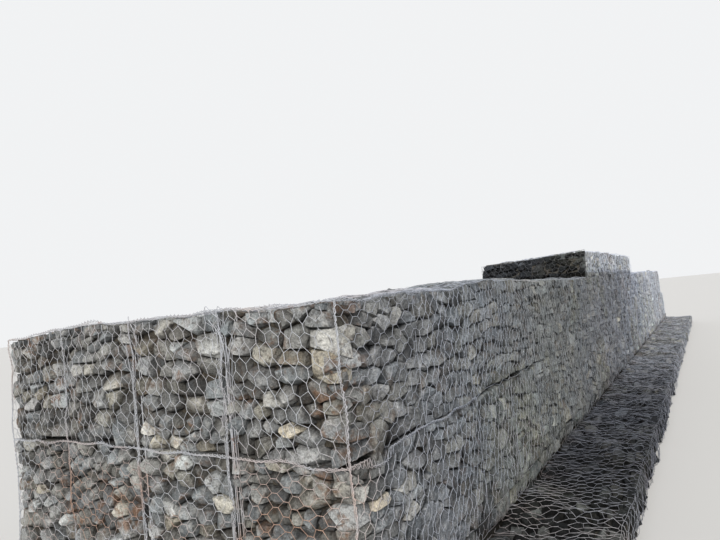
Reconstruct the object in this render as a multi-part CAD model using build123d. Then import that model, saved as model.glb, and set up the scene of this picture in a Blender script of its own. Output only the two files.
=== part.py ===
"""Gabion retaining wall: wire baskets filled with stone, laid in bonded courses round one corner.

Sizes are in millimetres. X runs along the long face, away from the outside corner, Y runs back
from that face, and Z is up. Places in the plan are counted in bays, the metre-long compartments
that the diaphragms make in each basket. Every basket is two solids: the stone fill, whose open
faces belly out between the wires, and its cage, the edge wires of each open panel, which lie on
the fill along the seams. The origin is the middle of the footprint, on the ground.
"""

import os
from collections import namedtuple

from build123d import *

# Baskets
bay = 1000.0  # from one diaphragm to the next, and the width of a basket
bays_in_basket = 2
base_height = 500.0
course_height = 1000.0
crest_height = 500.0
mattress_height = 330.0
mattress_width = 1050.0

# Plan, in bays
face_bays = 26
return_bays = 4
crest_start = 8
crest_bays = 7

# Wires and seams
edge_wire = 8.0  # an edge wire with the mesh ends wound round it
seam = 6.0  # between two baskets, where their side panels lie back to back
wire_clearance = 4.0  # from an edge wire to the foot of the belly beside it

# The fill's belly, as shares of the open panel's shorter side
belly_rise = 0.035
belly_run = 0.36

BASE, MIDDLE, TOP, CREST = range(4)
MATTRESS_ROW = -1
level_heights = [base_height, course_height, course_height, crest_height]
SIDES = [(1, 0), (0, 1), (-1, 0), (0, -1)]

Basket = namedtuple("Basket", "name course column row bays along")
Panel = namedtuple("Panel", "plane edges bottom top")


def run_of_baskets(name, course, column, row, bays, along):
    """Baskets end to end from one place in the plan, the last one short if the bays run out."""
    step = (1, 0) if along == "x" else (0, 1)
    return [
        Basket(
            name,
            course,
            column + step[0] * done,
            row + step[1] * done,
            min(bays_in_basket, bays - done),
            along,
        )
        for done in range(0, bays, bays_in_basket)
    ]


def lay_out():
    """Every basket of the wall. The corner basket turns from course to course, which bonds it."""
    baskets = []
    for name, course in (("base", BASE), ("top", TOP)):
        long_end = face_bays if course == BASE else face_bays - 1
        rest_of_return = return_bays - bays_in_basket
        baskets += run_of_baskets(f"{name}_corner", course, 0, 0, bays_in_basket, "y")
        baskets += run_of_baskets(f"{name}_return", course, 0, bays_in_basket, rest_of_return, "y")
        baskets += run_of_baskets(f"{name}_long", course, 1, 0, long_end - 1, "x")
    baskets += run_of_baskets("middle_corner", MIDDLE, 0, 0, bays_in_basket, "x")
    baskets += run_of_baskets("middle_return", MIDDLE, 0, 1, return_bays - 1, "y")
    baskets += run_of_baskets(
        "middle_long", MIDDLE, bays_in_basket, 0, face_bays - bays_in_basket, "x"
    )
    for name, course in (("base", BASE), ("middle", MIDDLE), ("top", TOP)):
        baskets += run_of_baskets(f"{name}_rear", course, crest_start, 1, crest_bays, "x")
    for column in range(crest_start, crest_start + crest_bays):
        baskets += run_of_baskets("crest", CREST, column, 0, bays_in_basket, "y")
    baskets += run_of_baskets("toe_mattress", BASE, 0, MATTRESS_ROW, face_bays, "x")
    return baskets


def bays_of(basket):
    """The plan places that a basket stands on, from its start."""
    step = (1, 0) if basket.along == "x" else (0, 1)
    return [
        (basket.column + step[0] * n, basket.row + step[1] * n) for n in range(basket.bays)
    ]


def plan_box(place):
    """Low and high X and Y of one bay."""
    column, row = place
    low_y = -mattress_width if row == MATTRESS_ROW else row * bay
    high_y = 0.0 if row == MATTRESS_ROW else low_y + bay
    return column * bay, low_y, (column + 1) * bay, high_y


def bottom_of(course):
    return sum(level_heights[:course])


def top_of(course, place):
    in_mattress = place[1] == MATTRESS_ROW
    return mattress_height if in_mattress else bottom_of(course) + level_heights[course]


def shifted(place, *steps):
    return place[0] + sum(s[0] for s in steps), place[1] + sum(s[1] for s in steps)


def is_filled(taken, course, place):
    return (course, place) in taken


def is_joint(taken, course, place, side):
    """Whether the basket next to this bay's side covers it, which the low mattress doesn't."""
    beside = shifted(place, side)
    over_mattress = beside[1] == MATTRESS_ROW != place[1]
    return is_filled(taken, course, beside) and not over_mattress


def open_from(taken, basket, place, side):
    """The height from which a bay's side shows, or None where a neighbour covers it."""
    if is_joint(taken, basket.course, place, side):
        return None
    beside = shifted(place, side)
    if is_filled(taken, basket.course, beside):
        return mattress_height + edge_wire
    low = bottom_of(basket.course)
    stands_on_lid = is_filled(taken, basket.course - 1, beside)
    return low + edge_wire if stands_on_lid else low


def open_stretches(places, heights):
    """Groups of neighbouring bays whose faces show from the same height."""
    stretches = []
    for place, low in zip(places, heights):
        if low is None:
            continue
        last = stretches[-1] if stretches else None
        follows = last and last[1] == low and abs(sum(place) - sum(last[0][-1])) == 1
        if follows:
            last[0].append(place)
        else:
            stretches.append(([place], low))
    return stretches


def bar_edges(starts, start_inset, end_inset):
    """Low and high edge of each upright wire across a panel whose bays start at these places."""
    edges = [(starts[0] + start_inset, starts[0] + start_inset + edge_wire)]
    edges += [(line - edge_wire / 2, line + edge_wire / 2) for line in starts[1:-1]]
    edges.append((starts[-1] - end_inset - edge_wire, starts[-1] - end_inset))
    return edges


def side_panels(taken, basket):
    """The open side panels of a basket, one for each stretch of bays that shows."""
    panels = []
    for side in SIDES:
        across = (-side[1], side[0])
        faces_end = (side[0] != 0) == (basket.along == "x")
        places = sorted(bays_of(basket), key=lambda p: p[0] * across[0] + p[1] * across[1])
        if faces_end:
            places = [max(places, key=lambda p: p[0] * side[0] + p[1] * side[1])]
        heights = [open_from(taken, basket, place, side) for place in places]
        for stretch, low in open_stretches(places, heights):
            ends = [(stretch[0], (-across[0], -across[1])), (stretch[-1], across)]
            insets = [
                seam / 2
                + edge_wire * is_filled(taken, basket.course, shifted(place, outwards, side))
                for place, outwards in ends
            ]
            box = plan_box(stretch[0])
            corner = (
                box[0] if side[1] < 0 or side[0] < 0 else box[2],
                box[1] if side[1] < 0 or side[0] > 0 else box[3],
            )
            width = box[2] - box[0] if side[0] == 0 else box[3] - box[1]
            plane = Plane(origin=(*corner, 0), x_dir=(*across, 0), z_dir=(*side, 0))
            starts = [n * width for n in range(len(stretch) + 1)]
            top = top_of(basket.course, stretch[0]) - seam / 2
            panels.append(Panel(plane, bar_edges(starts, *insets), low + seam / 2, top))
    return panels


def lid_panels(taken, basket):
    """The open lid panels of a basket, one for each stretch of bays with nothing on them."""
    panels = []
    places = bays_of(basket)
    above = [None if is_filled(taken, basket.course + 1, place) else 0 for place in places]
    for stretch, _ in open_stretches(places, above):
        box = plan_box(stretch[0])
        top = top_of(basket.course, stretch[0])
        lengthwise = basket.along == "x"
        corner = (box[0], box[1], top) if lengthwise else (box[2], box[1], top)
        plane = Plane(origin=corner, x_dir=(1, 0, 0) if lengthwise else (0, 1, 0))
        width = box[3] - box[1] if lengthwise else box[2] - box[0]
        starts = [n * bay for n in range(len(stretch) + 1)]
        edges = bar_edges(starts, seam / 2, seam / 2)
        panels.append(Panel(plane, edges, seam / 2, width - seam / 2))
    return panels


def openings(panel):
    """The rectangles between a panel's wires, as left, bottom, right and top."""
    low, high = panel.bottom + edge_wire, panel.top - edge_wire
    pairs = zip(panel.edges[:-1], panel.edges[1:])
    return [(left[1], low, right[0], high) for left, right in pairs]


def rectangle(left, bottom, right, top):
    return Pos((left + right) / 2, (bottom + top) / 2) * Rectangle(right - left, top - bottom)


def cage_panel(panel):
    """The edge wires and diaphragm wires of one panel, as a flat ladder."""
    outline = rectangle(panel.edges[0][0], panel.bottom, panel.edges[-1][1], panel.top)
    for opening in openings(panel):
        outline -= rectangle(*opening)
    return extrude(panel.plane * outline, amount=edge_wire)


def bellies(panel):
    """The stone that swells out between the wires of one panel, flat-topped with sloping sides."""
    swells = []
    for left, bottom, right, top in openings(panel):
        width = right - left - 2 * wire_clearance
        height = top - bottom - 2 * wire_clearance
        rise = belly_rise * min(width, height)
        run = belly_run * min(width, height)
        swell = Wedge(
            width, rise, height, run, run, width - run, height - run, rotation=(90, 0, 0)
        )
        place = Pos((left + right) / 2, (bottom + top) / 2, rise / 2)
        swells.append(panel.plane * place * swell)
    return swells


def stone_fill(taken, basket):
    """The stone in one basket: a block shortened at each joint, with a belly on each open face."""
    places = bays_of(basket)
    low_x, low_y = plan_box(places[0])[:2]
    high_x, high_y = plan_box(places[-1])[2:]
    step = (1, 0) if basket.along == "x" else (0, 1)
    back = (-step[0], -step[1])
    if is_joint(taken, basket.course, places[0], back):
        low_x += step[0] * seam / 2
        low_y += step[1] * seam / 2
    if is_joint(taken, basket.course, places[-1], step):
        high_x -= step[0] * seam / 2
        high_y -= step[1] * seam / 2
    low_z = bottom_of(basket.course)
    outline = rectangle(low_x, low_y, high_x, high_y)
    height = top_of(basket.course, places[0]) - low_z
    fill = extrude(Pos(0, 0, low_z) * outline, amount=height)
    for panel in side_panels(taken, basket) + lid_panels(taken, basket):
        for belly in bellies(panel):
            fill += belly
    return fill


def build_wall():
    """The solids of each node, by name."""
    baskets = lay_out()
    taken = {(basket.course, place) for basket in baskets for place in bays_of(basket)}
    nodes = {}
    for basket in baskets:
        fills = nodes.setdefault(f"{basket.name}_fill", [])
        cages = nodes.setdefault(f"{basket.name}_cage", [])
        fills.append(stone_fill(taken, basket))
        panels = side_panels(taken, basket) + lid_panels(taken, basket)
        cages += [cage_panel(panel) for panel in panels]
    return nodes


def main():
    nodes = build_wall()
    everything = Compound(children=[Compound(solids) for solids in nodes.values()])
    middle = everything.bounding_box().center()
    to_origin = Pos(-middle.X, -middle.Y, 0)
    os.makedirs("parts", exist_ok=True)
    for name, solids in nodes.items():
        export_step(to_origin * Compound(solids), f"parts/{name}.step")


main()
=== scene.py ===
# %% [markdown]
# # A gabion wall
#
# A gabion is a box of hexagonal steel mesh, filled with broken stone on the spot. Boxes of 2 m by
# 1 m are laid in courses like bricks and laced together, so a wall of them has three layers to
# model: the stones that press on the mesh, the mesh itself, and the edge wires with their lacing.
# The frame brings the plain solids of each basket. They could be kept and given a stone texture,
# but a gabion is seen from a few metres away and its outline is all gaps and wires, so each solid
# is replaced by real stones and real wires in the same place.

import math
import random
from collections import namedtuple

import bmesh
import bpy
import numpy as np
from mathutils import Matrix, Vector


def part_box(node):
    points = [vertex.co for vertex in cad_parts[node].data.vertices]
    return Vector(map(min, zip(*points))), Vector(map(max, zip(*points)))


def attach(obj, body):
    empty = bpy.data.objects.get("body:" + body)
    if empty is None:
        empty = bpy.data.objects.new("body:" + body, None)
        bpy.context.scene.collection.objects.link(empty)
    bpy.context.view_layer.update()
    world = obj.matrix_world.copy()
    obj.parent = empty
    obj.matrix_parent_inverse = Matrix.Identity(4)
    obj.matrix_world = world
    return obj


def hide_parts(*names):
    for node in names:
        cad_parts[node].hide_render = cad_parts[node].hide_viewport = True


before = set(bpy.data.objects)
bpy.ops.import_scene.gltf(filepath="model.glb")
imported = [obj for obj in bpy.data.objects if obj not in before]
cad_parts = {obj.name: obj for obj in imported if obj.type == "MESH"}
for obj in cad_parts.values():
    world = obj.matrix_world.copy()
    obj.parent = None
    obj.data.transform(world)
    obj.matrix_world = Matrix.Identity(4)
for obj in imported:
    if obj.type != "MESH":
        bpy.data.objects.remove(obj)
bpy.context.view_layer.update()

# %% [markdown]
# ## Where the wall stands
#
# Every size below is in metres from the outside corner of the wall: x along the long face, y back
# from it, z up. The corner's place in the frame could be typed in, but reading it from a node's
# box keeps the scene right if the wall gets longer. An edge wire stands proud of the two faces by
# its own thickness, so that much is taken off the box.

# %% Read the corner and the number of bays
EDGE_WIRE = 0.008
LEVELS = [0.0, 0.5, 1.5, 2.5, 3.0]
MATTRESS_HEIGHT = 0.33
MATTRESS_WIDTH = 1.05
CREST_START = 8
CREST_BAYS = 7

cage_low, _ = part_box("middle_corner_cage")
corner = Vector((cage_low.x + EDGE_WIRE, cage_low.y + EDGE_WIRE, 0))
mattress_low, mattress_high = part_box("toe_mattress_cage")
face_bays = round(mattress_high.x - mattress_low.x)
_, return_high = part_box("top_return_cage")
return_bays = round(return_high.y - corner.y)
print("corner", tuple(round(v, 3) for v in corner), "bays", face_bays, return_bays)

# %% [markdown]
# ## The camera
#
# The photo was taken standing near the corner, with the phone a little tilted. A camera could be
# moved by eye until the picture looks alike. Here it was solved instead from the course seams and
# the corner of the wall, which are a known metre apart, so the roll and the climb are as measured.

# %% Set the camera
IMAGE_WIDTH = 720
FOCAL_PIXELS = 537.3
SENSOR_WIDTH = 36.0
FAR_ENOUGH = 500.0
CAMERA_FROM_CORNER = Vector((-2.542, -1.828, 2.425))
HEADING, CLIMB, ROLL = (math.radians(a) for a in (32.64, 3.50, -5.98))


def new_object(name, data):
    """An object of the scene, with this name and data."""
    made = bpy.data.objects.new(name, data)
    bpy.context.scene.collection.objects.link(made)
    return made


camera = new_object("camera", bpy.data.cameras.new("camera"))
camera.data.sensor_width = SENSOR_WIDTH
camera.data.lens = FOCAL_PIXELS / IMAGE_WIDTH * SENSOR_WIDTH
camera.data.clip_end = FAR_ENOUGH
forward = Vector((
    math.cos(HEADING) * math.cos(CLIMB), math.sin(HEADING) * math.cos(CLIMB), math.sin(CLIMB)
))
level_right = forward.cross(Vector((0, 0, 1))).normalized()
right = math.cos(ROLL) * level_right + math.sin(ROLL) * level_right.cross(forward)
turn = Matrix((right, right.cross(forward), -forward)).transposed()
camera.matrix_world = Matrix.Translation(corner + CAMERA_FROM_CORNER) @ turn.to_4x4()
bpy.context.scene.camera = camera
print("lens", round(camera.data.lens, 2), "mm")

# %% [markdown]
# ## Floor and light
#
# The wall stands on a plain pale floor. A ground of sand would be closer to life, but the part is
# meant for other scenes, so the stage stays out of its way. Broad light from a pale sky, and one
# wide soft sun from the front, keep the greys as they are written and still leave the gaps between
# the stones dark. The camera, and what mirrors, see a plain backdrop in place of that sky.

# %% Write the helpers that add shader nodes
def nodes_of(material):
    material.use_nodes = True
    tree = material.node_tree
    tree.nodes.clear()
    return tree


def add_node(tree, kind, values=None, **settings):
    """A shader node with its settings, each input given a value or linked to a socket."""
    node = tree.nodes.new("ShaderNode" + kind)
    for name, setting in settings.items():
        setattr(node, name, setting)
    for name, value in (values or {}).items():
        if isinstance(value, bpy.types.NodeSocket):
            tree.links.new(value, node.inputs[name])
        else:
            node.inputs[name].default_value = value
    return node


def add_math(tree, operation, first, second=0.0):
    return add_node(tree, "Math", {0: first, 1: second}, operation=operation).outputs[0]


def add_surface(tree, values):
    shader = add_node(tree, "BsdfPrincipled", values)
    add_node(tree, "OutputMaterial", {"Surface": shader.outputs["BSDF"]})


print("helpers", [helper.__name__ for helper in (nodes_of, add_node, add_math, add_surface)])

# %% Make the floor, the sky and the sun
FLOOR_REACH = 200.0
FLOOR_GREY = (0.62, 0.61, 0.59, 1)
SKY_LIGHT, SKY_STRENGTH = (0.86, 0.90, 0.96, 1), 0.60
BACKDROP = (0.88, 0.89, 0.90, 1)
SUN_POWER, SUN_WIDTH = 3.7, math.radians(18)
SUN_COLOUR, SUN_FROM = (1.0, 0.97, 0.93), Vector((-0.86, -0.36, 0.58))

bm = bmesh.new()
bmesh.ops.create_grid(bm, x_segments=2, y_segments=2, size=FLOOR_REACH)
floor_mesh = bpy.data.meshes.new("floor")
bm.to_mesh(floor_mesh)
bm.free()
floor = new_object("floor", floor_mesh)
floor_paint = bpy.data.materials.new("floor_paint")
add_surface(nodes_of(floor_paint), {"Base Color": FLOOR_GREY, "Roughness": 0.9})
floor_mesh.materials.append(floor_paint)

world = bpy.data.worlds.new("sky")
bpy.context.scene.world = world
tree = nodes_of(world)
light = add_node(tree, "Background", {"Color": SKY_LIGHT, "Strength": SKY_STRENGTH})
backdrop = add_node(tree, "Background", {"Color": BACKDROP})
rays = add_node(tree, "LightPath").outputs
seen = rays["Is Camera Ray"]
for ray in ("Is Glossy Ray", "Is Transmission Ray"):
    seen = add_math(tree, "MAXIMUM", seen, rays[ray])
either = add_node(tree, "MixShader", {0: seen, 1: light.outputs[0], 2: backdrop.outputs[0]})
add_node(tree, "OutputWorld", {"Surface": either.outputs[0]})

sun = new_object("sun", bpy.data.lights.new("sun", "SUN"))
sun.data.energy = SUN_POWER
sun.data.angle = SUN_WIDTH
sun.data.color = SUN_COLOUR
sun.rotation_euler = SUN_FROM.to_track_quat("Z", "Y").to_euler()
bpy.context.scene.view_settings.view_transform = "Standard"
print("sun", sun.data.energy, "watts per square metre")

# %% [markdown]
# ## Which faces show
#
# A list of all open faces could be written by hand, but there are more than two hundred. It is
# simpler to fill a set of bays course by course, as the wall is built, and to keep a face wherever
# the bay beside it is empty. The corner basket turns from course to course, which bonds the corner,
# and every basket is two bays long with a diaphragm between them.

# %% Lay the baskets
BASE, MIDDLE, TOP, CREST = range(4)
MATTRESS_ROW = -1
Basket = namedtuple("Basket", "node course places along")


def run_of_baskets(node, course, column, row, bays, along):
    step = (1, 0) if along == "x" else (0, 1)
    places = [(column + step[0] * n, row + step[1] * n) for n in range(bays)]
    return [Basket(node, course, places[n : n + 2], along) for n in range(0, bays, 2)]


baskets = []
for name, course in (("base", BASE), ("top", TOP)):
    long_end = face_bays if course == BASE else face_bays - 1
    baskets += run_of_baskets(f"{name}_corner", course, 0, 0, 2, "y")
    baskets += run_of_baskets(f"{name}_return", course, 0, 2, return_bays - 2, "y")
    baskets += run_of_baskets(f"{name}_long", course, 1, 0, long_end - 1, "x")
baskets += run_of_baskets("middle_corner", MIDDLE, 0, 0, 2, "x")
baskets += run_of_baskets("middle_return", MIDDLE, 0, 1, return_bays - 1, "y")
baskets += run_of_baskets("middle_long", MIDDLE, 2, 0, face_bays - 2, "x")
for name, course in (("base", BASE), ("middle", MIDDLE), ("top", TOP)):
    baskets += run_of_baskets(f"{name}_rear", course, CREST_START, 1, CREST_BAYS, "x")
for column in range(CREST_START, CREST_START + CREST_BAYS):
    baskets += run_of_baskets("crest", CREST, column, 0, 2, "y")
baskets += run_of_baskets("toe_mattress", BASE, 0, MATTRESS_ROW, face_bays, "x")
filled = {(basket.course, place) for basket in baskets for place in basket.places}
print("baskets", len(baskets), "bays", len(filled))

# %% [markdown]
# ## Panels
#
# A panel is one side or lid of one basket, with its own flat frame: u across, v up, w outwards.
# Stones and wires are both made in that flat frame and then carried to the wall, so they can't
# drift apart. Three grades say how fine a panel is made: near for the faces beside the camera,
# open for the rest of the front, and plain for the backs and lids.

# %% Find which faces of a bay show
SEAM = 0.003
NEAR_BAYS = 5  # of the long face, beside the camera


class Panel(namedtuple("Panel", "node frame bays bay height lid grade")):
    """A side or lid of a basket. Its frame takes flat points to places from the corner."""

    @property
    def width(self):
        return self.bays * self.bay

    @property
    def faces_along(self):
        """Whether it looks along the long face, to either side."""
        return abs(self.frame[0, 2]) > 0.5


def plan_box(place):
    column, row = place
    low_y = -MATTRESS_WIDTH if row == MATTRESS_ROW else float(row)
    return float(column), low_y, column + 1.0, 0.0 if row == MATTRESS_ROW else low_y + 1.0


def top_of(course, place):
    return MATTRESS_HEIGHT if place[1] == MATTRESS_ROW else LEVELS[course + 1]


def open_from(course, place, side):
    beside = (place[0] + side[0], place[1] + side[1])
    if (course, beside) not in filled:
        return LEVELS[course]
    over_mattress = beside[1] == MATTRESS_ROW != place[1]
    return MATTRESS_HEIGHT if over_mattress else None


def stretches(places, lows):
    found = []
    for place, low in zip(places, lows):
        if low is None:
            continue
        if found and found[-1][1] == low and math.dist(found[-1][0][-1], place) == 1:
            found[-1][0].append(place)
        else:
            found.append(([place], low))
    return found


print("tops of the courses", [top_of(course, (0, 0)) for course in range(4)])

# %% Find the panels
def grade_of(basket, place, side):
    front = side == (0, -1) and place[1] == 0
    near = side == (-1, 0) and place[0] == 0 or front and place[0] < NEAR_BAYS
    if near and basket.course != CREST:
        return "near"
    if front or place[1] == MATTRESS_ROW or basket.course == CREST:
        return "open"
    return "plain"


def flat_frame(origin, across, up):
    outwards = Vector(across).cross(Vector(up))
    return np.array([[*column, flag] for column, flag in (
        (across, 0), (up, 0), (outwards, 0), (origin, 1)
    )]).T


def panels_of(basket):
    panels = []
    for side in ((1, 0), (0, 1), (-1, 0), (0, -1)):
        across = (-side[1], side[0])
        places = sorted(basket.places, key=lambda p: p[0] * across[0] + p[1] * across[1])
        if (side[0] != 0) == (basket.along == "x"):
            places = [max(places, key=lambda p: p[0] * side[0] + p[1] * side[1])]
        lows = [open_from(basket.course, place, side) for place in places]
        for stretch, low in stretches(places, lows):
            box = plan_box(stretch[0])
            x = box[0] if side[1] < 0 or side[0] < 0 else box[2]
            y = box[1] if side[1] < 0 or side[0] > 0 else box[3]
            bay = box[2] - box[0] if side[0] == 0 else box[3] - box[1]
            height = top_of(basket.course, stretch[0]) - low
            frame_here = flat_frame((x, y, low), (*across, 0), (0, 0, 1))
            grade = grade_of(basket, stretch[0], side)
            panels.append(Panel(basket.node, frame_here, len(stretch), bay, height, False, grade))
    lows = [None if (basket.course + 1, p) in filled else 0 for p in basket.places]
    for stretch, _ in stretches(basket.places, lows):
        box = plan_box(stretch[0])
        top = top_of(basket.course, stretch[0])
        grade = grade_of(basket, stretch[0], None)
        if basket.along == "x":
            frame_here = flat_frame((box[0], box[1], top), (1, 0, 0), (0, 1, 0))
            width = box[3] - box[1]
        else:
            frame_here = flat_frame((box[2], box[1], top), (0, 1, 0), (-1, 0, 0))
            width = box[2] - box[0]
        panels.append(Panel(basket.node, frame_here, len(stretch), 1.0, width, True, grade))
    return panels


panels = [panel for basket in baskets for panel in panels_of(basket)]
for grade in ("near", "open", "plain"):
    area = sum(p.width * p.height for p in panels if p.grade == grade)
    print(grade, sum(p.grade == grade for p in panels), "panels", round(area, 1), "m2")

# %% [markdown]
# ## How the faces bulge and settle
#
# Stone pushes each bay out between its edge wires, so every face is a shallow cushion. The mesh
# lies on some stones and spans the hollows between others, and over the years the whole wall has
# sagged and swayed by a few centimetres. Sculpting that on each panel would take days. Here belly
# gives the height of the cushion and its lumps anywhere on a panel, round_off pulls in the free
# rims, settle shifts any point of the finished wall, and bank_up raises the mattress at the wall's
# foot. Stones and wires both go through all of them, in carry, so the mesh stays on its stones.

# %% Find the free edges of each panel
def solid_at(point):
    """Whether a basket or the ground fills this place."""
    x, y, z = point
    if z < 0:
        return True
    row = math.floor(y)
    if y <= 0:
        row = MATTRESS_ROW if y > -MATTRESS_WIDTH else MATTRESS_ROW - 1
    place = (math.floor(x), row)
    if row == MATTRESS_ROW:
        return (BASE, place) in filled and z < MATTRESS_HEIGHT
    return any(
        (course, place) in filled and LEVELS[course] < z < LEVELS[course + 1] for course in range(4)
    )


def from_corner(panel, local):
    """Flat panel points as places from the corner."""
    return local @ panel.frame[:3, :3].T + panel.frame[:3, 3]


def edge_is_free(panel, u, v, way):
    """Whether nothing lies behind the face just past this point of a panel's rim."""
    step = 0.05
    past = np.array([u + way[0] * step, v + way[1] * step, -step])
    return not solid_at(from_corner(panel, past))


def free_edges(panel):
    """Whether a panel's two ends are free edges of the wall, and the same for its rims by bay."""
    width, height = panel.width, panel.height
    ends = [edge_is_free(panel, u, height / 2, way) for u, way in ((0, (-1, 0)), (width, (1, 0)))]
    middles = [(n + 0.5) * panel.bay for n in range(panel.bays)]
    rims = [
        [edge_is_free(panel, u, v, way) for u in middles]
        for v, way in ((0, (0, -1)), (height, (0, 1)))
    ]
    return ends, rims


edges_of = {id(panel): free_edges(panel) for panel in panels}


def rims_at(panel, u, v):
    """At points of a panel, for each rim: is it free, how far is it, and which way is inwards?"""
    (left, right), (lower, upper) = edges_of[id(panel)]
    bay = np.clip((u / panel.bay).astype(int), 0, panel.bays - 1)
    return (
        (np.full(len(u), left), u, 0, 1),
        (np.full(len(u), right), panel.width - u, 0, -1),
        (np.array(lower)[bay], v, 1, 1),
        (np.array(upper)[bay], panel.height - v, 1, -1),
    )


print("free rims", sum(sum(map(sum, rims)) + sum(ends) for ends, rims in edges_of.values()))

# %% Write the bulge
BELLY_RISE = 0.024
SUNKEN_RISE = -0.6  # the lids of the return are hollow and not bellied, as a share of the rise
BELLY_RUN = 0.36
DIAPHRAGM_RISE = 0.4  # how much of the cushion is left at a diaphragm of an upright panel
SEAM_RISE = 0.35  # and at a seam near the corner
FAR_SEAM_RISE, FAR_SEAM_AT = 0.85, 3
LUMP = 0.020  # the mesh lies on some stones and spans the hollows between them
FAR_LUMP = 0.046
FAR_LUMP_FROM, FAR_LUMP_TO = 3, 8
MATTRESS_LUMP = 0.054
RIM_SPARED, RIM_RUN = 0.7, 0.12  # a free rim is this much less lumpy


def ease(distance, run):
    return 1 - (1 - np.clip(distance / run, 0, 1)) ** 2


def lumps(at):
    """How far the fill has sunk in at points from the corner, 0 to 1, a stone or two wide."""
    x, y, z = at.T
    broad = np.sin(3.7 * x + 2.1 * y + 3.1 * z) + np.sin(4.1 * y - 2.3 * x - 3.7 * z + 1.3)
    small = (
        np.sin(13.1 * x + 4.2 * y - 9.7 * z + 2.0) + np.sin(12.9 * y - 7.3 * x + 8.3 * z + 0.7)
        + np.sin(6.1 * x - 10.3 * y + 13.7 * z + 4.1)
    )
    stone = np.sin(23.0 * x + 9.0 * y - 8.0 * z + 1.1) * np.sin(7.0 * x - 21.0 * y + 25.0 * z + 0.5)
    return 0.5 + 0.5 * np.clip(0.26 * broad + 0.26 * small + 0.55 * stone, -1, 1)


def belly(panel, u, v):
    """How far a panel stands out at these places, cushion less lumps."""
    short = min(panel.bay, panel.height)
    at = from_corner(panel, np.column_stack((u, v, 0 * u)))
    seam_rise = SEAM_RISE + (FAR_SEAM_RISE - SEAM_RISE) * np.clip(at[:, 0] / FAR_SEAM_AT, 0, 1)
    across = np.mod(np.clip(u, 0, panel.width), panel.bay)
    across = np.minimum(across, panel.bay - across)
    at_diaphragm = 0.0 if panel.faces_along else DIAPHRAGM_RISE
    rise = at_diaphragm + (1 - at_diaphragm) * ease(across, BELLY_RUN * short)
    spared = 1.0
    for free, distance, axis, _ in rims_at(panel, u, v):
        distance = np.clip(distance, 0, None)
        foot = (seam_rise if axis == 1 else 1.0) * (1 - free)
        rise = rise * (foot + (1 - foot) * ease(distance, BELLY_RUN * short))
        spared = spared * (1 - RIM_SPARED * free * (1 - ease(distance, RIM_RUN)))
    lump = LUMP + (FAR_LUMP - LUMP) * np.clip(
        (at[:, 0] - FAR_LUMP_FROM) / (FAR_LUMP_TO - FAR_LUMP_FROM), 0, 1
    )
    if panel.node == "toe_mattress":
        lump = MATTRESS_LUMP
    sunk = panel.lid and panel.node in ("top_corner", "top_return")
    return BELLY_RISE * short * rise * (SUNKEN_RISE if sunk else 1.0) - lump * spared * lumps(at)


middle = [np.array([side / 2]) for side in (panels[0].bay, panels[0].height)]
print("belly of the first bay", belly(panels[0], *middle).round(3), "m")

# %% Round off the free edges
ROUNDING, ROUNDING_WAVE = 0.017, 0.009
ROUNDING_RUN = 0.13
SHARP_FROM, SHARP_SHARE = 2.2, 0.6  # the top rims are rounded less
MATTRESS_ROUNDING = 1.6


def drawn_in(panel, local, pull, run):
    """Flat points drawn in from a panel's free edges, and how far each was drawn in all."""
    moved = local.copy()
    total = np.zeros(len(local))
    for free, distance, axis, sign in rims_at(panel, local[:, 0], local[:, 1]):
        amount = free * pull * (1 - np.clip(distance / run, 0, 1)) ** 2
        moved[:, axis] += sign * amount
        total += amount
    return moved, total


def round_off(panel, local):
    """Pulls the free edges of a panel in, slantwise, as stone never fills a sharp edge."""
    x, y, z = from_corner(panel, local).T
    pull = ROUNDING + ROUNDING_WAVE * np.sin(4.1 * x + 3.7 * y + 5.3 * z)
    pull = pull * (1 - SHARP_SHARE * np.clip((z - SHARP_FROM) / 0.2, 0, 1))
    if panel.node == "toe_mattress":
        pull = MATTRESS_ROUNDING * pull
    moved, total = drawn_in(panel, local, pull, ROUNDING_RUN)
    moved[:, 2] -= total
    return moved


print("rounding", [round(ROUNDING + way * ROUNDING_WAVE, 3) for way in (-1, 1)], "m")

# %% Write the settling
SWAY, SWAY_LEAN = 0.012, 0.010  # the faces have moved in by this much at most
SAG, SLUMP, UNEVEN = 0.018, 0.050, 0.026  # sinking of the top, of the return's end, and in waves
HEAP_AT, HEAP_WIDTH, HEAP = 2.9, 0.9, 0.050  # a heap on the rim of the long face
GAPE, GAPE_FROM, GAPE_LENGTH = 0.055, 0.02, 0.62  # the seam under the top corner basket
FACE_WAVE = 0.012
TOE_EDGE, TOE_CREEP = 0.010, 0.034  # the mattress's outer edge has crept in
FOOT_HEIGHT, FOOT_RUN, FOOT_OUT, FOOT_UP = 0.5, 0.22, 0.020, 0.022
CREST_SAG = 0.055


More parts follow.
